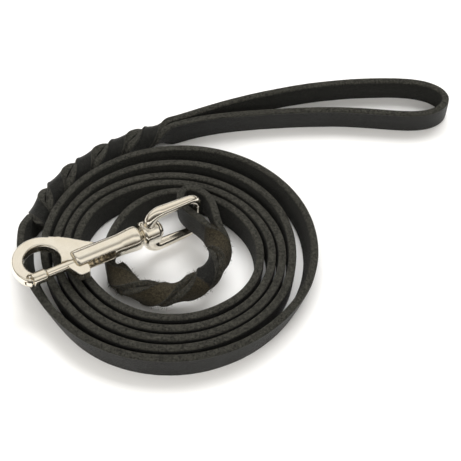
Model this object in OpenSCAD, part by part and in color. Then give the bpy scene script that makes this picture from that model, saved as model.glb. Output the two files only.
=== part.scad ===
// Leather training leash, wound on its edge into a flat coil with its hand loop
// laid out beside it and its swivel bolt snap resting across the coil.
// +Z is up and the leash stands on z = 0, with the origin at the bottom centre.

/* [Leather strip] */
// Width of the strip, which stands on edge
strap_w = 12; // [11.6:0.1:12.1]
// Thickness of the strip in the coil
strap_t = 3.4; // [3:0.1:3.5]
// Thickness of the strip in the hand loop
loop_t = 3.2; // [2.8:0.1:3.4]

/* [Braids] */
// Width of one strand where two of them are braided
strand_w = 9.6; // [8:0.1:9.8]
// Thickness of one strand
strand_t = 3.2; // [2.8:0.1:3.2]
// Half turns of the braid at the hand loop
hand_half_turns = 5; // [3:2:7]
// Half turns of the braid at the snap
snap_half_turns = 4; // [2:2:6]

/* [Snap] */
// Length of the snap's barrel
barrel_len = 30; // [29:0.1:30.5]
// Radius of the barrel at the hook end
barrel_r = 4.7; // [4.5:0.05:4.75]
// Radius of the hook's opening
hook_open_r = 7.6; // [7:0.1:8]
// Radius of the sliding bolt
bolt_r = 1.9; // [1.7:0.05:1.9]
// Inside height of the eye, between its two arms
eye_inside = 16.8; // [16.6:0.1:17.2]
// Radius of the eye's crossbar
crossbar_r = 1.7; // [1.5:0.1:1.8]

/* [Hidden] */

// The leash is laid out about the middle of its coil, then moved so that the
// origin is under the middle of the whole object.
coil_centre = [1, -5];
to_origin = [-31.47, -17.67, 0];

// Middle of the strip round the coil: radii every 30 degrees, outermost turn
// first, going counter-clockwise and inwards.
coil_from = -210;
coil_step = 30;
coil_radii = [
    64.0,
    60.2, 54.6, 54.7, 54.9, 55.1, 55.9, 57.5, 57.7, 56.6, 55.0, 53.9, 53.3,
    52.4, 50.3, 50.1, 50.2, 50.6, 51.3, 50.1, 49.3, 47.6, 46.9, 47.2, 47.8,
    47.7, 45.6, 45.0, 45.3, 46.1, 46.9, 45.7, 42.3, 40.0, 39.5, 41.1, 43.4,
    43.3, 41.0, 40.3, 40.5, 41.6, 42.6, 41.4, 38.0, 35.7, 35.2, 36.6, 38.9,
    38.9, 36.2, 35.2, 35.2, 36.3, 37.8, 36.4, 33.4, 31.3, 30.4, 28.0, 25.8,
    25.8, 27.0
];
coil_start_at = 0.5;
inner_turn_at = 51.5;
coil_end_at = len(coil_radii) - 1.5;

// Middle line of the braid at the hand loop, from the coil to the loop
hand_braid_route = [
    [-57.25, 11.6], [-56.2, 18], [-52.5, 27.5], [-46.5, 36.8], [-39, 45],
    [-30.5, 52], [-21, 58.2], [-12, 62.8], [-4, 66]
];

// Middle line of the hand loop: out along the near leg, back along the far leg
hand_loop_route = [
    [-3, 64.3], [6, 67.9], [13, 70.3], [22, 72.4], [34, 74.3], [48, 75.6],
    [62, 76.4], [76, 76.6], [90, 75.6], [103, 74.3], [112, 74.2], [119, 76],
    [123.5, 79.8], [124.9, 84.4], [122.4, 89.4], [116, 93.2], [106, 95.1],
    [92, 95.2], [78, 94.2], [62, 91.8], [46, 88], [32, 83.7], [20, 78.9],
    [11, 74.7], [3, 70.9], [-4.1, 68.1]
];

// Middle line of the braid at the snap, from the snap to the coil's inner end
snap_braid_route = [
    [18.6, 0.5], [21.2, -6], [20.8, -13.6], [16.2, -20.6], [8.6, -25.6],
    [-0.5, -27.4], [-9.5, -25.2], [-17.4, -20.2], [-22.6, -12.4]
];
braid_z = 6;
snap_end_z = 14.1;

// Middle line of the loop round the snap's eye, from its near side to its far side
snap_loop_route = [
    [15.5, 1.6], [11.8, 5.6], [7.4, 9.4], [4.8, 14.2], [4.9, 18.6], [8, 21.3],
    [12.1, 20.1], [16.2, 16.8], [18.8, 11.2], [20.2, 4.4]
];

strand_offset = 2;

// Place of the snap: end of the barrel on the eye's side, and its direction
snap_at = [-12.5, -3.2, 16.35];
snap_turn = 211.3;
snap_tilt = 4;

// Snap, in its own frame: the barrel's axis is X, towards the hook
wall_from = 5;
bore_from = 7.6;
bolt_fit = 0.08;
bolt_tail = 23.2;
bolt_tip = 42.6;
nose_from = 42.8;
nose_r = 2.75;
hook_centre = [41.3, -6.2];
hook_ring_r = 10.1;
flare_r = 5.3;
slot_from = 13;
slot_half = 2.3;
tab_half = 2.0;
post_r = 2.05;
post_fit = 0.06;
hub_r = 5.5;
hub_from = -1.3;
hub_len = 7.5;
arm_r = 1.9;
shoulder_r = 2.5;
eye_half = eye_inside / 2 + arm_r;
crossbar_x = -28;
corner_r = 4.4;
bend_r = 5.5;
bend_x = -10.4;
stem_from = 3;
spring_turns = 6.5;
spring_r = 1.45;
spring_wire = 0.3;

leather = "#262624";
flesh = "#4a4238";
nickel = "#d8d0c4";
steel = "#b9b4ab";

// --- curves ---

// One point of a smooth curve through b and c, where a and d are their neighbours
function on_curve(a, b, c, d, t) =
    0.5 * (2 * b + (c - a) * t + (2 * a - 5 * b + 4 * c - d) * t * t
        + (3 * b - a - 3 * c + d) * t * t * t);

// The value at a fractional place in a list, such as 2.5
function along(list, at) =
    let (last = len(list) - 1, i = min(floor(at), last - 1))
    on_curve(list[max(i - 1, 0)], list[i], list[i + 1], list[min(i + 2, last)], at - i);

// A route again, with that many steps between its points
function smooth(route, steps) =
    [for (k = [0 : (len(route) - 1) * steps]) along(route, k / steps)];

// Unit direction of a flat line of points at one of them
function heading(line, i) =
    let (d = line[min(i + 1, len(line) - 1)] - line[max(i - 1, 0)])
    [d.x, d.y] / norm([d.x, d.y]);

// The line moved sideways, to its left for a positive distance
function beside(line, distance) =
    [for (i = [0 : len(line) - 1])
        let (h = heading(line, i)) line[i] + distance * [-h.y, h.x]];

function turned_round(list) = [for (i = [len(list) - 1 : -1 : 0]) list[i]];

// Triangles of a closed tube: rings of points, one after another
function tube_faces(rings, sides) =
    let (last = (rings - 1) * sides)
    concat(
        [for (k = [1 : sides - 2]) [0, k, k + 1]],
        [for (i = [0 : rings - 2]) for (k = [0 : sides - 1])
            let (a = i * sides + k, b = i * sides + (k + 1) % sides)
            each [[a, a + sides, b + sides], [a, b + sides, b]]],
        [for (k = [1 : sides - 2]) [last, last + k + 1, last + k]]);

// Middle of the strip between two places in the list of radii
function coil_line(from_at, to_at) =
    let (steps = 3)
    [for (k = [from_at * 2 * steps : to_at * 2 * steps])
        let (at = k / (2 * steps), a = coil_from + at * coil_step, r = along(coil_radii, at))
        coil_centre + r * [cos(a), sin(a)]];

// --- leather ---

// A strip on edge that follows a flat line of points
module strip(line, thickness, z = 0) {
    translate([0, 0, z])
        linear_extrude(strap_w)
            polygon(concat(beside(line, thickness / 2), turned_round(beside(line, -thickness / 2))));
}

// Corners of a strand's section, with its edges taken off
function section(t, w) =
    let (a = t / 2, b = w / 2, c = 0.7)
    [[a - c, b], [c - a, b], for (y = [3 : -2 : -3]) [-a, (b - c) * y / 3],
        [c - a, -b], [a - c, -b], for (y = [-3 : 2 : 3]) [a, (b - c) * y / 3]];

// One strand of a braid: it winds round the middle line from one angle to another
module strand(route, from_z, to_z, from_angle, to_angle) {
    line = smooth(route, 10);
    last = len(line) - 1;
    corners = section(strand_t, strand_w);
    sides = len(corners);
    points = [for (i = [0 : last])
        let (h = heading(line, i), s = i / last, a = from_angle + s * (to_angle - from_angle),
            rise = s * s * (3 - 2 * s),
            out = [-h.y * cos(a), h.x * cos(a), sin(a)],
            up = [h.y * sin(a), -h.x * sin(a), cos(a)],
            middle = [line[i].x, line[i].y, from_z + rise * (to_z - from_z)] + strand_offset * out)
        for (c = corners) middle + c.x * out + c.y * up];
    polyhedron(points, tube_faces(last + 1, sides), convexity = 8);
}

module lead_coil() {
    color(leather) translate(to_origin) strip(coil_line(coil_start_at, inner_turn_at), strap_t);
}

// The same strip's last turn, open enough inside for the snap to hang over it
module coil_inner_turn() {
    color(leather) translate(to_origin) strip(coil_line(inner_turn_at, coil_end_at), strap_t);
}

module handle_braid_main() {
    color(leather) translate(to_origin)
        strand(hand_braid_route, braid_z, braid_z, 0, -180 * hand_half_turns);
}

module handle_braid_tail() {
    color(leather) translate(to_origin)
        strand(hand_braid_route, braid_z, braid_z, 180, 180 - 180 * hand_half_turns);
}

module handle_loop() {
    color(leather) translate(to_origin) strip(smooth(hand_loop_route, 4), loop_t);
}

module snap_braid_main() {
    color(flesh) translate(to_origin)
        strand(snap_braid_route, snap_end_z, braid_z, 0, -180 * snap_half_turns);
}

module snap_braid_tail() {
    color(flesh) translate(to_origin)
        strand(snap_braid_route, snap_end_z, braid_z, 180, 180 - 180 * snap_half_turns);
}

module snap_loop() {
    color(leather) translate(to_origin)
        strip(smooth(snap_loop_route, 4), loop_t, snap_end_z - strap_w / 2);
}

// --- snap ---

module at_snap() {
    translate(to_origin + snap_at) rotate([0, -snap_tilt, snap_turn]) children();
}

// A round bar along X
module bar(from, to, r) {
    translate([from, 0, 0]) rotate([0, 90, 0]) cylinder(h = to - from, r = r, $fn = 64);
}

// A tapered round bar along X
module taper(from, to, from_r, to_r) {
    translate([from, 0, 0]) rotate([0, 90, 0]) cylinder(h = to - from, r1 = from_r, r2 = to_r, $fn = 64);
}

// One half of the eye's frame, from the hub round to the middle of the crossbar
module eye_half_frame() {
    translate([bend_x + bend_r, 0, stem_from])
        cylinder(h = eye_half - bend_r - stem_from, r = shoulder_r, $fn = 48);
    translate([bend_x, 0, eye_half - bend_r]) rotate([90, 0, 0])
        rotate_extrude(angle = 90, $fn = 96) translate([bend_r, 0]) circle(r = shoulder_r, $fn = 48);
    translate([bend_x, 0, eye_half])
        rotate([0, -90, 0]) cylinder(h = bend_x - crossbar_x - corner_r, r1 = shoulder_r, r2 = arm_r, $fn = 48);
    translate([crossbar_x + corner_r, 0, eye_half - corner_r]) rotate([90, 0, 0]) rotate([0, 0, 90])
        rotate_extrude(angle = 90, $fn = 96) translate([corner_r, 0]) circle(r = arm_r, $fn = 48);
    translate([crossbar_x, 0, 0]) cylinder(h = eye_half - corner_r, r = crossbar_r, $fn = 48);
}

module swivel_eye() {
    color(nickel) at_snap() difference() {
        union() {
            translate([hub_from, 0, 0]) rotate([0, -90, 0]) rotate_extrude($fn = 96)
                polygon([[0, 0], [hub_r - 0.8, 0], [hub_r, 0.8], [hub_r, hub_len - 0.8],
                    [hub_r - 0.8, hub_len], [0, hub_len]]);
            eye_half_frame();
            mirror([0, 0, 1]) eye_half_frame();
        }
        bar(hub_from - hub_len - 6, 1, post_r + post_fit);
    }
}

module swivel_post() {
    color(steel) at_snap() translate([wall_from, 0, 0]) rotate([0, -90, 0]) {
        neck = wall_from - hub_from + hub_len + 0.15;
        rotate_extrude($fn = 96)
            polygon([[0, 0], [post_r, 0], [post_r, neck], [3.5, neck], [3.5, neck + 0.7],
                [3.1, neck + 1.4], [2.2, neck + 1.9], [1, neck + 2.15], [0, neck + 2.2]]);
    }
}

// Rim of the hook: flat on its four sides, with rounded shoulders between them
module hook_rim_section() {
    intersection() {
        circle(r = 3, $fn = 64);
        square([4.9, 4.8], center = true);
    }
}

module hook_arc() {
    translate([hook_centre.x, hook_centre.y, 0]) rotate([0, 0, -168])
        rotate_extrude(angle = 202, $fn = 128) translate([hook_ring_r, 0]) hook_rim_section();
}

// Plate that joins the hook to the barrel
module hook_web() {
    difference() {
        linear_extrude(4.5, center = true)
            polygon([[15.5, -2], [18.5, -5], [22.2, -7.9], [26, -11.4], [29.6, -14.2], [33.4, -16.4],
                [42, -9], [42, -2], [33.4, -1.2], [30, 0]]);
        translate([hook_centre.x, hook_centre.y, -5]) cylinder(h = 10, r = hook_open_r + 0.1, $fn = 128);
    }
}

module snap_body() {
    color(nickel) at_snap() difference() {
        union() {
            taper(0, 1, flare_r - 0.7, flare_r);
            bar(1, 3, flare_r);
            taper(3, 9, flare_r, barrel_r);
            bar(9, barrel_len - 0.8, barrel_r);
            taper(barrel_len - 0.8, barrel_len, barrel_r, barrel_r - 0.8);
            hook_web();
            hook_arc();
            bar(nose_from, hook_centre.x + 8, nose_r);
            translate([hook_centre.x + 8, -0.1, 0]) sphere(r = nose_r, $fn = 64);
        }
        bar(-1, wall_from, post_r);
        bar(bore_from, nose_from, bolt_r + bolt_fit);
        translate([slot_from, 0, -slot_half]) cube([barrel_len - slot_from + 2, 8, 2 * slot_half]);
    }
}

module bolt_spring() {
    steps = 14;
    sides = 6;
    rings = floor(spring_turns * steps);
    from_x = bore_from + spring_wire + 0.1;
    span = bolt_tail - bore_from - 2 * spring_wire - 0.2;
    points = [for (i = [0 : rings])
        let (a = 360 * i / steps, out = [0, cos(a), sin(a)],
            middle = [from_x + span * i / rings, 0, 0] + spring_r * out)
        for (k = [0 : sides - 1])
            middle + spring_wire * (cos(60 * k) * out - sin(60 * k) * [1, 0, 0])];
    color(steel) at_snap() polyhedron(points, tube_faces(rings + 1, sides), convexity = 8);
}

module bolt_rod() {
    color(nickel) at_snap() {
        bar(bolt_tail, bolt_tip - 0.5, bolt_r);
        taper(bolt_tip - 0.5, bolt_tip, bolt_r, bolt_r - 0.5);
    }
}

module thumb_tab() {
    color(nickel) at_snap() difference() {
        translate([0, 0, -tab_half]) linear_extrude(2 * tab_half)
            polygon([[33.4, 1.2], [33.4, 2.4], [31.2, 7.6], [30.4, 8.4], [26.9, 8.4], [26.3, 7.6],
                [25.7, 5.2], [25.7, 1.2]]);
        bar(20, 40, bolt_r);
    }
}

lead_coil();
coil_inner_turn();
handle_braid_main();
handle_braid_tail();
handle_loop();
snap_braid_main();
snap_braid_tail();
snap_loop();
swivel_eye();
swivel_post();
snap_body();
bolt_spring();
bolt_rod();
thumb_tab();
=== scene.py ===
"""Training leash: leather, metal finish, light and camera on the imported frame."""
import math
import random

import bmesh
import bpy
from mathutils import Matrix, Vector


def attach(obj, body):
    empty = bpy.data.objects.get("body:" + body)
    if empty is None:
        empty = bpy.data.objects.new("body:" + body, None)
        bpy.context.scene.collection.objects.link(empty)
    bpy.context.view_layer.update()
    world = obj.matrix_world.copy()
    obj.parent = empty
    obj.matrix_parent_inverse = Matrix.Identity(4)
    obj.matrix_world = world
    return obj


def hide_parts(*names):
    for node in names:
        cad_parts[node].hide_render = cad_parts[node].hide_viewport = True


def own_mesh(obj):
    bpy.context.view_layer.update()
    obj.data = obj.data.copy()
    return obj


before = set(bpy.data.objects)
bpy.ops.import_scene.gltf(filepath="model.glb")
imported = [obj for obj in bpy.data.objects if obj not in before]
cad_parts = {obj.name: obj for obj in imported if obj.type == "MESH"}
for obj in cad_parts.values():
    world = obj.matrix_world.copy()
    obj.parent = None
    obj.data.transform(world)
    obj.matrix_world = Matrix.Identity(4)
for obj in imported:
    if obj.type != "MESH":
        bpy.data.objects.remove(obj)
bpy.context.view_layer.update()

MM = 0.001
TO_ORIGIN = Vector((-31.47, -17.67, 0))

# --- camera ---

ELEVATION = math.radians(51)
CAMERA_DISTANCE = 0.6
AIM = (Vector((26, 13.4, 0)) + TO_ORIGIN) * MM
LENS = 107.8

camera_data = bpy.data.cameras.new("camera")
camera_data.lens = LENS
camera_data.sensor_width = 36
camera_data.clip_start = 0.01
camera_data.clip_end = 20
camera = bpy.data.objects.new("camera", camera_data)
bpy.context.collection.objects.link(camera)
camera.location = AIM + CAMERA_DISTANCE * Vector((0, -math.cos(ELEVATION), math.sin(ELEVATION)))
camera.rotation_euler = (math.pi / 2 - ELEVATION, 0, 0)
bpy.context.scene.camera = camera

# --- routes of the leather, in millimetres about the coil's layout ---

STRAP_W = 12.0
STRAP_T = 3.4
LOOP_T = 3.2
STRAND_W = 9.6
STRAND_OFFSET = 2.0
BRAID_Z = 6.0
SNAP_END_Z = 14.1
HAND_HALF_TURNS = 5
SNAP_HALF_TURNS = 4

COIL_CENTRE = Vector((1, -5))
COIL_FROM = -210
COIL_STEP = 30
COIL_RADII = [
    64.0,
    60.2, 54.6, 54.7, 54.9, 55.1, 55.9, 57.5, 57.7, 56.6, 55.0, 53.9, 53.3,
    52.4, 50.3, 50.1, 50.2, 50.6, 51.3, 50.1, 49.3, 47.6, 46.9, 47.2, 47.8,
    47.7, 45.6, 45.0, 45.3, 46.1, 46.9, 45.7, 42.3, 40.0, 39.5, 41.1, 43.4,
    43.3, 41.0, 40.3, 40.5, 41.6, 42.6, 41.4, 38.0, 35.7, 35.2, 36.6, 38.9,
    38.9, 36.2, 35.2, 35.2, 36.3, 37.8, 36.4, 33.4, 31.3, 30.4, 28.0, 25.8,
    25.8, 27.0,
]
COIL_START = 0.5
COIL_END = len(COIL_RADII) - 1.5

HAND_BRAID = [
    (-57.25, 11.6), (-56.2, 18), (-52.5, 27.5), (-46.5, 36.8), (-39, 45),
    (-30.5, 52), (-21, 58.2), (-12, 62.8), (-4, 66),
]
HAND_LOOP = [
    (-3, 64.3), (6, 67.9), (13, 70.3), (22, 72.4), (34, 74.3), (48, 75.6),
    (62, 76.4), (76, 76.6), (90, 75.6), (103, 74.3), (112, 74.2), (119, 76),
    (123.5, 79.8), (124.9, 84.4), (122.4, 89.4), (116, 93.2), (106, 95.1),
    (92, 95.2), (78, 94.2), (62, 91.8), (46, 88), (32, 83.7), (20, 78.9),
    (11, 74.7), (3, 70.9), (-4.1, 68.1),
]
SNAP_BRAID = [
    (18.6, 0.5), (21.2, -6), (20.8, -13.6), (16.2, -20.6), (8.6, -25.6),
    (-0.5, -27.4), (-9.5, -25.2), (-17.4, -20.2), (-22.6, -12.4),
]
SNAP_LOOP = [
    (15.5, 1.6), (11.8, 5.6), (7.4, 9.4), (4.8, 14.2), (4.9, 18.6), (8, 21.3),
    (12.1, 20.1), (16.2, 16.8), (18.8, 11.2), (20.2, 4.4),
]

# How far the coil's outermost turn leans outwards at its top, by angle
OUTER_LEAN = [
    (-195, 3), (-150, 3.4), (-120, 1.7), (-90, 0.9), (-45, 2.4), (-20, 3.6), (0, 3), (45, 1.8), (165, 1)
]
INNER_LEAN = 0.9
HANDLE_LEAN = 1.7


def along(values, at):
    """The value of a smooth curve through a list, at a fractional place in it."""
    last = len(values) - 1
    i = min(int(math.floor(at)), last - 1)
    a, b, c, d = values[max(i - 1, 0)], values[i], values[i + 1], values[min(i + 2, last)]
    t = at - i
    return 0.5 * (2 * b + (c - a) * t + (2 * a - 5 * b + 4 * c - d) * t * t
                  + (3 * b - a - 3 * c + d) * t * t * t)


def smooth_route(route, steps):
    points = [Vector(p) for p in route]
    return [along(points, k / steps) for k in range((len(points) - 1) * steps + 1)]


def left_of(line, i):
    """Unit direction to the left of a flat line at one of its points."""
    d = line[min(i + 1, len(line) - 1)] - line[max(i - 1, 0)]
    return Vector((-d.y, d.x, 0)).normalized()


def between(table, x):
    """Linear interpolation in a short table of pairs."""
    for (x0, y0), (x1, y1) in zip(table, table[1:]):
        if x <= x1:
            return y0 + (y1 - y0) * max(0, (x - x0) / (x1 - x0))
    return table[-1][1]


def leaned(centre, out, direction, lean):
    """A strip on edge with its top moved sideways by that much, and its lower edge left in place."""
    angle = math.asin(lean / STRAP_W)
    moved = Vector((centre.x, centre.y, STRAP_W / 2 * math.cos(angle))) + direction * lean / 2
    return moved, out * math.cos(angle) - Vector((0, 0, 1)) * math.sin(angle) * out.dot(direction)


def station(centre, out, thickness, width, flesh_out=0.0, crown=0.12, brown=0.0):
    """flesh_out is 1 where the flesh side faces outwards, brown is 1 where it is undyed and fibrous."""
    return {"centre": centre, "out": out, "t": thickness, "w": width,
            "flesh": flesh_out, "crown": crown, "brown": brown}


def coil_stations():
    """The coil, from its inner end outwards."""
    found = []
    steps = 10
    for k in range(int(COIL_END * steps), int(COIL_START * steps) - 1, -1):
        at = k / steps
        degrees = COIL_FROM + at * COIL_STEP
        angle = math.radians(degrees)
        radius = along(COIL_RADII, at)
        out = Vector((math.cos(angle), math.sin(angle), 0))
        centre = Vector((COIL_CENTRE.x, COIL_CENTRE.y, 0)) + radius * out
        outermost = between([(11.5, 1), (13.5, 0)], at)
        lean = outermost * between(OUTER_LEAN, min(degrees, 165)) + (1 - outermost) * INNER_LEAN
        centre, out = leaned(centre, out, out, lean)
        found.append(station(centre, out, STRAP_T, STRAP_W))
    return found


def strand_stations(route, from_z, to_z, from_angle, to_angle, flesh_out, look):
    """One strand of a braid, winding round the route and lingering where its cut edges face up."""
    line = smooth_route(route, 8)
    last = len(line) - 1
    found = []
    for i, point in enumerate(line):
        s = i / last
        turned = math.radians(s * (to_angle - from_angle))
        angle = math.radians(from_angle) + turned - look["linger"] / 2 * math.sin(2 * turned)
        left = left_of(line, i)
        out = left * math.cos(angle) + Vector((0, 0, 1)) * math.sin(angle)
        z = from_z + s * s * (3 - 2 * s) * (to_z - from_z)
        ease = min(1, 8 * s, 8 * (1 - s))
        offset = STRAND_OFFSET + ease * look["spread"]
        width = STRAND_W - ease * look["slimmer"]
        centre = Vector((point.x, point.y, z)) + offset * out
        found.append(station(centre, out, look["thickness"], width, flesh_out(s), 0.42, look["brown"]))
    return found


def handle_stations():
    """The hand loop, with the grain side of the leather on its outside."""
    line = smooth_route(HAND_LOOP, 6)
    found = []
    for i, point in enumerate(line):
        out = -left_of(line, i)
        ease = min(1, min(i, len(line) - 1 - i) / 24)
        towards = -out.y * HANDLE_LEAN * ease
        centre, out = leaned(Vector((point.x, point.y, 0)), out, out, towards)
        found.append(station(centre, out, LOOP_T, STRAP_W))
    return found


def fold_stations(first, last):
    """The fold round the eye's crossbar, between two shares of its length."""
    line = smooth_route(SNAP_LOOP, 8)
    count = len(line) - 1
    return [
        station(Vector((line[i].x, line[i].y, SNAP_END_Z)), left_of(line, i), LOOP_T, STRAP_W)
        for i in range(round(first * count), round(last * count) + 1)
    ]


def joined(stretches, spacing=1.4, reach=2.6):
    """Stretches as one even run of stations, smoothed where they meet."""
    raw = [s for stretch in stretches for s in stretch[1:-1]]
    raw = [stretches[0][0]] + raw + [stretches[-1][-1]]
    places = [0.0]
    for a, b in zip(raw, raw[1:]):
        places.append(places[-1] + (b["centre"] - a["centre"]).length)
    count = round(places[-1] / spacing)
    even = []
    i = 0
    for k in range(count + 1):
        place = places[-1] * k / count
        while i < len(raw) - 2 and places[i + 1] < place:
            i += 1
        t = (place - places[i]) / max(places[i + 1] - places[i], 1e-6)
        a, b = raw[i], raw[i + 1]
        even.append({key: a[key] + (b[key] - a[key]) * t for key in a})
    half = max(1, round(reach / spacing))
    result = []
    for k in range(count + 1):
        near = min(half, k, count - k)
        picked = even[k - near:k + near + 1]
        weights = [1 + near - abs(j - near) for j in range(len(picked))]
        total = sum(weights)
        mean = {key: sum((w * p[key] for w, p in zip(weights, picked)), 0 * picked[0][key]) / total
                for key in picked[0]}
        result.append(mean)
    for k, s in enumerate(result):
        ahead = result[min(k + 1, count)]["centre"] - result[max(k - 1, 0)]["centre"]
        s["along"] = ahead.normalized()
        s["out"] = (s["out"] - s["out"].dot(s["along"]) * s["along"]).normalized()
        s["up"] = s["along"].cross(s["out"])
        s["place"] = places[-1] * k / count
    return result


def section(thickness, width, crown=0.12, radius=0.75, face_steps=6, arc_steps=3):
    """Points round the strip's section: (out, up, side), where side is 0 grain, 1 flesh, 2 a cut edge."""
    a, b = thickness / 2, width / 2
    points = []

    def face(sign, side):
        for k in range(face_steps + 1):
            v = -1 + 2 * k / face_steps
            points.append((sign * (a + crown * (0.5 - v * v)), sign * v * (b - radius), side))

    def corner(sign, first, last_side):
        for k in range(1, arc_steps):
            angle = math.radians(first + 90 * k / arc_steps)
            x = sign * (a - radius) + radius * math.cos(angle)
            y = last_side * (b - radius) + radius * math.sin(angle)
            points.append((x, y, 2))

    face(1, 0)
    corner(1, 0, 1)
    points.append((a - radius, b, 2))
    points.append((0, b - 0.05, 2))
    points.append((radius - a, b, 2))
    corner(-1, 90, 1)
    face(-1, 1)
    corner(-1, 180, -1)
    points.append((radius - a, -b, 2))
    points.append((0, 0.05 - b, 2))
    points.append((a - radius, -b, 2))
    corner(1, 270, -1)
    return points


def wander(place, seed):
    """A slow, even wobble of about -1 to 1 along the strip."""
    return (0.5 * math.sin(place / 9.1 + seed) + 0.3 * math.sin(place / 4.3 + 2.1 * seed)
            + 0.2 * math.sin(place / 23 + 3.7 * seed))


def leather_mesh(name, stations, material, bare_start, bare_end):
    """The strip as a mesh. Attribute "side" holds flesh, cut edge and brownness."""
    mesh = bpy.data.meshes.new(name)
    bm = bmesh.new()
    uv = bm.loops.layers.uv.new("along")
    side = bm.verts.layers.float_color.new("side")
    rings = []
    for s in stations:
        place = s["place"]
        thick = s["t"] * (1 + 0.018 * wander(place, 1.3))
        wide = s["w"] * (1 + 0.008 * wander(place, 4.1))
        ring = []
        for k, (x, y, kind) in enumerate(section(thick, wide, s["crown"])):
            rough = 0.05 * wander(place * 2.7, 0.9 * k) if kind == 2 else 0.02 * wander(place, 0.5 * k)
            offset = s["out"] * (x + math.copysign(rough, x)) + s["up"] * y
            point = (s["centre"] + offset + TO_ORIGIN) * MM
            point.z = max(point.z, 0.00002)
            vert = bm.verts.new(point)
            flesh = {0: s["flesh"], 1: 1 - s["flesh"], 2: 0.5}[kind]
            vert[side] = (flesh, 1.0 if kind == 2 else 0.0, s["brown"], 1.0)
            ring.append(vert)
        rings.append(ring)
    count = len(rings[0])
    for i in range(len(rings) - 1):
        for k in range(count):
            n = (k + 1) % count
            quad = bm.faces.new((rings[i][k], rings[i][n], rings[i + 1][n], rings[i + 1][k]))
            quad.smooth = True
            for loop, (ring, around) in zip(quad.loops, ((i, k), (i, k + 1), (i + 1, k + 1), (i + 1, k))):
                loop[uv].uv = (stations[ring]["place"] / 10, around / count * 3)
    for ring, bare, flip in ((rings[0], bare_start, True), (rings[-1], bare_end, False)):
        cap = bm.faces.new(ring[::-1] if flip else ring)
        if bare:
            inset = bmesh.ops.inset_region(bm, faces=[cap], thickness=0.0005, depth=0.0003)
            for face in inset["faces"]:
                face.smooth = True
    bmesh.ops.recalc_face_normals(bm, faces=bm.faces[:])
    bm.to_mesh(mesh)
    bm.free()
    mesh.materials.append(material)
    piece = bpy.data.objects.new(name, mesh)
    bpy.context.collection.objects.link(piece)
    return piece


# --- materials ---

def new_material(name):
    material = bpy.data.materials.new(name)
    material.use_nodes = True
    tree = material.node_tree
    return material, tree, tree.nodes["Principled BSDF"]


def node(tree, kind, **values):
    made = tree.nodes.new(kind)
    for key, value in values.items():
        if hasattr(made, key):
            setattr(made, key, value)
        else:
            made.inputs[key.replace("_", " ")].default_value = value
    return made


def mixed(tree, factor, a, b, blend="MIX"):
    mix = tree.nodes.new("ShaderNodeMix")
    mix.data_type = "RGBA"
    mix.blend_type = blend
    for socket, value in ((mix.inputs[0], factor), (mix.inputs[6], a), (mix.inputs[7], b)):
        if isinstance(value, bpy.types.NodeSocket):
            tree.links.new(value, socket)
        else:
            socket.default_value = value
    return mix.outputs[2]


def maths(tree, operation, a, b):
    made = node(tree, "ShaderNodeMath", operation=operation)
    for socket, value in zip(made.inputs, (a, b)):
        if isinstance(value, bpy.types.NodeSocket):
            tree.links.new(value, socket)
        else:
            socket.default_value = value
    return made.outputs[0]


def noise(tree, vector, scale, detail=4.0, roughness=0.55):
    made = node(tree, "ShaderNodeTexNoise", Scale=scale, Detail=detail, Roughness=roughness)
    tree.links.new(vector, made.inputs["Vector"])
    return made.outputs["Fac"]


def stretched(tree, vector, scale):
    made = node(tree, "ShaderNodeMapping")
    made.inputs["Scale"].default_value = scale
    tree.links.new(vector, made.inputs["Vector"])
    return made.outputs["Vector"]


def remapped(tree, value, from_low, from_high, to_low, to_high):
    made = node(tree, "ShaderNodeMapRange")
    tree.links.new(value, made.inputs[0])
    for socket, number in zip(made.inputs[1:5], (from_low, from_high, to_low, to_high)):
        socket.default_value = number
    return made.outputs[0]


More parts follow.
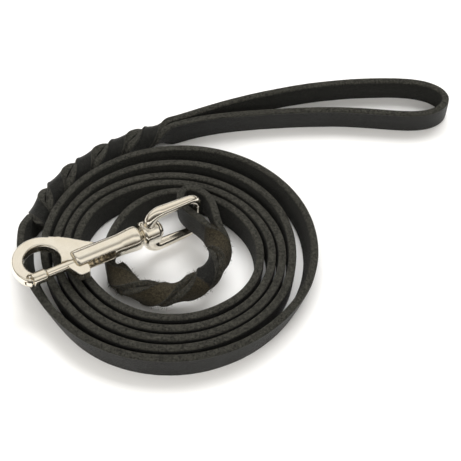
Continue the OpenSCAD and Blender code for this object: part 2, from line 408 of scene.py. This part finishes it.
def leather_material():
    """Grain side with pores and creases, suede flesh side, and paler fibrous cut edges."""
    material, tree, shader = new_material("leather")
    coordinates = node(tree, "ShaderNodeTexCoord")
    place, uv = coordinates.outputs["Object"], coordinates.outputs["UV"]
    attribute = node(tree, "ShaderNodeAttribute", attribute_name="side")
    split = node(tree, "ShaderNodeSeparateColor")
    tree.links.new(attribute.outputs["Color"], split.inputs[0])
    flesh_raw, edge_raw, brown = split.outputs[0], split.outputs[1], split.outputs[2]

    blotches = noise(tree, place, 90, 5)
    fine = noise(tree, place, 2600, 6, 0.6)
    pores = node(tree, "ShaderNodeTexVoronoi", feature="DISTANCE_TO_EDGE", Scale=1900)
    tree.links.new(place, pores.inputs["Vector"])
    pore_depth = remapped(tree, pores.outputs["Distance"], 0, 0.25, 0, 1)
    creases = noise(tree, stretched(tree, uv, (0.5, 14, 1)), 3.2, 5)
    fibres = noise(tree, stretched(tree, uv, (3, 40, 1)), 5, 8, 0.7)
    nap = noise(tree, stretched(tree, place, (1, 1, 1.6)), 1100, 8, 0.78)
    speckle = noise(tree, place, 950, 5, 0.85)
    scuffs = noise(tree, stretched(tree, uv, (0.35, 5, 1)), 2.2, 6, 0.7)

    worn = remapped(tree, blotches, 0.35, 0.7, 0, 1)
    grain = mixed(tree, worn, (0.0036, 0.0037, 0.0034, 1), (0.0092, 0.0093, 0.0082, 1))
    # painted shade: the grain colour is darkened along the furrows between the pebbles, where the bump height
    # is lowest
    grain = mixed(tree, remapped(tree, pore_depth, 0, 1, 0.35, 0), grain, (0.0025, 0.0025, 0.0025, 1))
    grain = mixed(tree, remapped(tree, speckle, 0.50, 0.62, 0, 0.4), grain, (0.036, 0.036, 0.031, 1))
    grain = mixed(tree, remapped(tree, scuffs, 0.56, 0.74, 0, 0.3), grain, (0.024, 0.023, 0.019, 1))
    hairy = remapped(tree, nap, 0.35, 0.68, 0, 1)
    grey_flesh = mixed(tree, hairy, (0.0052, 0.0053, 0.0046, 1), (0.030, 0.030, 0.0255, 1))
    brown_flesh = mixed(tree, hairy, (0.005, 0.0042, 0.0028, 1), (0.066, 0.055, 0.034, 1))
    suede = mixed(tree, brown, grey_flesh, brown_flesh)
    torn = maths(tree, "ADD", maths(tree, "MULTIPLY", fibres, 0.35), maths(tree, "MULTIPLY", speckle, 0.65))
    tears = remapped(tree, torn, 0.42, 0.60, 0, 1)
    cut = mixed(tree, tears, (0.0042, 0.0042, 0.0034, 1), (0.068, 0.066, 0.055, 1))

    frayed_flesh = maths(tree, "ADD", flesh_raw, remapped(tree, nap, 0, 1, -0.18, 0.18))
    flesh = remapped(tree, frayed_flesh, 0.5, 0.72, 0, 1)
    frayed_edge = maths(tree, "ADD", edge_raw, remapped(tree, nap, 0, 1, -0.25, 0.25))
    edge = remapped(tree, frayed_edge, 0.25, 0.75, 0, 1)
    colour = mixed(tree, flesh, grain, suede)
    colour = mixed(tree, edge, colour, cut)
    tree.links.new(colour, shader.inputs["Base Color"])

    rough_grain = remapped(tree, blotches, 0.3, 0.7, 0.44, 0.60)
    rough = maths(tree, "MAXIMUM", rough_grain, maths(tree, "MULTIPLY", flesh, 0.94))
    rough = maths(tree, "MAXIMUM", rough, maths(tree, "MULTIPLY", edge, 0.8))
    tree.links.new(rough, shader.inputs["Roughness"])

    height_grain = maths(tree, "MULTIPLY", pore_depth, 0.55)
    height_grain = maths(tree, "ADD", height_grain, maths(tree, "MULTIPLY", fine, 0.5))
    height_grain = maths(tree, "ADD", height_grain, maths(tree, "MULTIPLY", creases, 0.8))
    height_rough = maths(tree, "ADD", maths(tree, "MULTIPLY", nap, 2.6), maths(tree, "MULTIPLY", fibres, 1.3))
    either = maths(tree, "MAXIMUM", flesh, edge)
    height = maths(tree, "ADD", height_grain, maths(tree, "MULTIPLY", height_rough, either))
    bump = node(tree, "ShaderNodeBump", Strength=0.85, Distance=0.00022)
    tree.links.new(height, bump.inputs["Height"])
    tree.links.new(bump.outputs["Normal"], shader.inputs["Normal"])
    shader.inputs["Specular IOR Level"].default_value = 0.24
    shader.inputs["Sheen Weight"].default_value = 0.03
    shader.inputs["Sheen Roughness"].default_value = 0.5
    return material


def metal_material(name, base, tint, rough_low, rough_high):
    """Bright metal with faint polishing marks and slight unevenness in the casting."""
    material, tree, shader = new_material(name)
    place = node(tree, "ShaderNodeTexCoord").outputs["Object"]
    clouds = noise(tree, place, 120, 4)
    marks = noise(tree, stretched(tree, place, (1, 1, 14)), 900, 3)
    colour = mixed(tree, remapped(tree, clouds, 0.3, 0.7, 0, 1), base, tint)
    tree.links.new(colour, shader.inputs["Base Color"])
    tree.links.new(remapped(tree, marks, 0.3, 0.75, rough_low, rough_high), shader.inputs["Roughness"])
    bump = node(tree, "ShaderNodeBump", Strength=0.12, Distance=0.0001)
    tree.links.new(maths(tree, "ADD", clouds, maths(tree, "MULTIPLY", marks, 0.12)), bump.inputs["Height"])
    tree.links.new(bump.outputs["Normal"], shader.inputs["Normal"])
    shader.inputs["Metallic"].default_value = 1
    return material


def fibre_material():
    """Dull leather fibres, each a slightly different brown-grey."""
    material, tree, shader = new_material("leather_fibre")
    place = node(tree, "ShaderNodeTexCoord").outputs["Object"]
    shades = remapped(tree, noise(tree, place, 700, 2), 0.3, 0.7, 0, 1)
    colour = mixed(tree, shades, (0.016, 0.014, 0.011, 1), (0.11, 0.095, 0.065, 1))
    tree.links.new(colour, shader.inputs["Base Color"])
    shader.inputs["Roughness"].default_value = 0.9
    shader.inputs["Specular IOR Level"].default_value = 0.15
    return material


leather = leather_material()
fibre = fibre_material()

# --- the strip, as two cords that leave the snap's crossbar ---


def no_flesh(s):
    return 0.0


def flesh_on_main(s):
    return 1.0 if s > 0.42 else 0.0


def flesh_on_tail(s):
    return 1.0


HAND_LOOK = {"linger": 0.5, "spread": 0.5, "slimmer": 1.7, "thickness": 3.8, "brown": 0.0}
SNAP_LOOK = {"linger": 0.3, "spread": 0.4, "slimmer": 1.0, "thickness": 3.2, "brown": 1.0}
HAND_END = -180 * HAND_HALF_TURNS
SNAP_END = -180 * SNAP_HALF_TURNS

lead_stations = joined([
    fold_stations(0.5, 1),
    strand_stations(SNAP_BRAID, SNAP_END_Z, BRAID_Z, 0, SNAP_END, flesh_on_main, SNAP_LOOK),
    coil_stations(),
    strand_stations(HAND_BRAID, BRAID_Z, BRAID_Z, 0, HAND_END, no_flesh, HAND_LOOK),
    handle_stations(),
    strand_stations(HAND_BRAID, BRAID_Z, BRAID_Z, 180, 180 + HAND_END, no_flesh, HAND_LOOK)[::-1],
])
tail_stations = joined([
    fold_stations(0, 0.5)[::-1],
    strand_stations(SNAP_BRAID, SNAP_END_Z, BRAID_Z, 180, 180 + SNAP_END, flesh_on_tail, SNAP_LOOK),
])


def fibres_piece(name, stretches, count, longest):
    """Short loose fibres along the cut edges of rough leather, each a thin tapered blade."""
    chance = random.Random(7)
    mesh = bpy.data.meshes.new(name)
    bm = bmesh.new()
    for _ in range(count):
        s = chance.choice(stretches)
        x = chance.uniform(-0.5, 0.5) * s["t"]
        side = chance.choice((-1, 1))
        y = side * s["w"] / 2
        root = s["centre"] + s["out"] * x + s["up"] * (y - side * 0.15)
        root = root + s["along"] * chance.uniform(-0.7, 0.7)
        reach = chance.uniform(0.25, 1) ** 2 * longest
        lean = s["up"] * side + s["out"] * chance.uniform(-1, 1) + s["along"] * chance.uniform(-1.3, 1.3)
        tip = root + lean.normalized() * reach
        across = lean.cross(s["along"] + s["out"] * 0.3).normalized() * chance.uniform(0.04, 0.09)
        bend = (root + tip) / 2 + s["along"] * chance.uniform(-0.15, 0.15)
        corners = [root - across, root + across, bend + across * 0.7, tip, bend - across * 0.7]
        corners = [(c + TO_ORIGIN) * MM for c in corners]
        if min(c.z for c in corners) < 0.0002:
            continue
        bm.faces.new([bm.verts.new(c) for c in corners])
    bm.to_mesh(mesh)
    bm.free()
    mesh.materials.append(fibre)
    piece = bpy.data.objects.new(name, mesh)
    bpy.context.collection.objects.link(piece)
    return piece


lead = leather_mesh("lead_strap", lead_stations, leather, False, True)
tail = leather_mesh("snap_tail", tail_stations, leather, False, True)
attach(lead, "lead")
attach(tail, "lead")
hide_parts("lead_coil", "coil_inner_turn", "handle_braid_main", "handle_braid_tail",
            "handle_loop", "snap_braid_main")
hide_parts("snap_braid_tail", "snap_loop")

rough_part = [s for s in lead_stations if s["flesh"] > 0.5 and s["place"] < 105]
rough_part += [s for s in tail_stations if s["place"] > 24]
snap_fibres = fibres_piece("snap_fibres", rough_part, 4200, 2.2)
strap_fibres = fibres_piece("strap_fibres", lead_stations, 5000, 0.45)
for piece in (snap_fibres, strap_fibres):
    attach(piece, "lead")

# --- snap ---

TURN = math.radians(211.3)
TILT = math.radians(4)
SNAP_X = Vector((math.cos(TILT) * math.cos(TURN), math.cos(TILT) * math.sin(TURN), math.sin(TILT)))
SNAP_Y = Vector((-math.sin(TURN), math.cos(TURN), 0))
SNAP_Z = SNAP_X.cross(SNAP_Y)
SNAP_AT = Vector((-12.5, -3.2, 16.35)) + TO_ORIGIN


def in_snap(x, y, z):
    return (SNAP_AT + x * SNAP_X + y * SNAP_Y + z * SNAP_Z) * MM


nickel = metal_material("nickel", (0.84, 0.775, 0.655, 1), (0.90, 0.85, 0.75, 1), 0.14, 0.24)
steel = metal_material("steel", (0.50, 0.49, 0.47, 1), (0.62, 0.60, 0.57, 1), 0.18, 0.32)


def cast_piece(name, source, voxel, rounds, material):
    """A casting: the CAD node's shape with its edges and inner corners softly rounded."""
    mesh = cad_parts[source].data.copy()
    bm = bmesh.new()
    bm.from_mesh(mesh)
    bmesh.ops.remove_doubles(bm, verts=bm.verts[:], dist=0.000002)
    bm.to_mesh(mesh)
    bm.free()
    holder = bpy.data.objects.new("cast_holder", mesh)
    bpy.context.collection.objects.link(holder)
    remesh = holder.modifiers.new("cast", "REMESH")
    remesh.mode = "VOXEL"
    remesh.voxel_size = voxel
    remesh.use_smooth_shade = True
    softened = holder.modifiers.new("soften", "SMOOTH")
    softened.factor = 0.5
    softened.iterations = rounds
    bpy.context.view_layer.update()
    result = bpy.data.meshes.new_from_object(holder.evaluated_get(bpy.context.evaluated_depsgraph_get()))
    bpy.data.objects.remove(holder)
    result.materials.clear()
    result.materials.append(material)
    piece = bpy.data.objects.new(name, result)
    bpy.context.collection.objects.link(piece)
    return piece


for name, source, body, voxel, rounds in (
        ("snap_casting", "snap_body", "snap", 0.00024, 20),
        ("eye_casting", "swivel_eye", "eye", 0.00022, 6),
        ("tab_casting", "thumb_tab", "bolt", 0.00014, 5)):
    piece = cast_piece(name, source, voxel, rounds, nickel)
    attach(piece, body)
    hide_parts(source)

for name, material in (("bolt_rod", nickel), ("swivel_post", nickel)):
    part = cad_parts[name]
    if not part.data.materials:
        part.data.materials.append(material)
    for place in part.material_slots:
        place.link = "OBJECT"
        place.material = material


SPRING_TURNS = 6.5
SPRING_STEPS = 24
SPRING_FROM = 8.0
SPRING_SPAN = 14.8
SPRING_R = 1.45
SPRING_WIRE_R = 0.0003


def spring_piece():
    """The bolt's spring, in its bore behind the bolt."""
    curve = bpy.data.curves.new("spring_wire", "CURVE")
    curve.dimensions = "3D"
    curve.bevel_depth = SPRING_WIRE_R
    curve.bevel_resolution = 3
    line = curve.splines.new("POLY")
    steps = int(SPRING_TURNS * SPRING_STEPS)
    line.points.add(steps)
    for k in range(steps + 1):
        angle = 2 * math.pi * k / SPRING_STEPS
        x = SPRING_FROM + SPRING_SPAN * k / steps
        point = in_snap(x, SPRING_R * math.cos(angle), SPRING_R * math.sin(angle))
        line.points[k].co = (*point, 1)
    holder = bpy.data.objects.new("spring_holder", curve)
    bpy.context.collection.objects.link(holder)
    bpy.context.view_layer.update()
    mesh = bpy.data.meshes.new_from_object(holder.evaluated_get(bpy.context.evaluated_depsgraph_get()))
    bpy.data.objects.remove(holder)
    mesh.materials.clear()
    mesh.materials.append(steel)
    piece = bpy.data.objects.new("spring", mesh)
    bpy.context.collection.objects.link(piece)
    return piece


spring = spring_piece()
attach(spring, "snap")
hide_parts("bolt_spring")
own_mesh(spring)

# --- floor and light ---

def floor_piece():
    mesh = bpy.data.meshes.new("floor")
    bm = bmesh.new()
    bmesh.ops.create_grid(bm, x_segments=2, y_segments=2, size=3)
    bmesh.ops.translate(bm, verts=bm.verts[:], vec=(0, 0, -0.0002))
    bm.to_mesh(mesh)
    bm.free()
    material, tree, shader = new_material("floor")
    shader.inputs["Base Color"].default_value = (0.93, 0.93, 0.93, 1)
    shader.inputs["Roughness"].default_value = 0.9
    mesh.materials.append(material)
    piece = bpy.data.objects.new("floor", mesh)
    bpy.context.collection.objects.link(piece)
    return piece


def area_light(name, position, size, power, colour=(1, 1, 1)):
    data = bpy.data.lights.new(name, "AREA")
    data.shape = "RECTANGLE"
    data.size, data.size_y = size
    data.energy = power
    data.color = colour
    light = bpy.data.objects.new(name, data)
    bpy.context.collection.objects.link(light)
    light.location = position
    light.visible_glossy = False
    light.rotation_euler = (AIM - Vector(position)).to_track_quat("-Z", "Y").to_euler()
    return light


# Brightness of the surroundings from the front (0) to the back (1), as the metal mirrors them
SURROUNDINGS = [(0.0, 0.04), (0.12, 0.2), (0.26, 1.2), (0.34, 1.2), (0.44, 0.32), (0.62, 1.08), (1.0, 1.12)]


def studio_world():
    """Pale surroundings with a soft panel in front, dark and warm towards the horizon."""
    world = bpy.data.worlds.new("studio")
    bpy.context.scene.world = world
    world.use_nodes = True
    tree = world.node_tree
    background = tree.nodes["Background"]
    direction = node(tree, "ShaderNodeTexCoord").outputs["Generated"]
    axes = node(tree, "ShaderNodeSeparateXYZ")
    tree.links.new(direction, axes.inputs[0])
    high = remapped(tree, axes.outputs["Z"], 0.16, 0.46, 0, 1)
    panels = node(tree, "ShaderNodeValToRGB")
    tree.links.new(remapped(tree, axes.outputs["Y"], -1, 1, 0, 1), panels.inputs[0])
    stops = panels.color_ramp.elements
    while len(stops) < len(SURROUNDINGS):
        stops.new(0.5)
    for stop, (where, bright) in zip(stops, SURROUNDINGS):
        stop.position = where
        stop.color = (bright, bright * 0.975, bright * 0.92, 1)
    sky = mixed(tree, high, (0.06, 0.045, 0.03, 1), panels.outputs["Color"])
    seen = node(tree, "ShaderNodeLightPath").outputs["Is Camera Ray"]
    tree.links.new(mixed(tree, seen, sky, (1, 1, 1, 1)), background.inputs["Color"])
    background.inputs["Strength"].default_value = 0.85


floor_piece()
studio_world()
area_light("key", (0.15, 0.5, 0.9), (0.9, 0.5), 9)
area_light("front", (-0.3, -0.75, 0.55), (0.8, 0.4), 5, (1, 0.98, 0.95))

bpy.context.scene.view_settings.view_transform = "Standard"
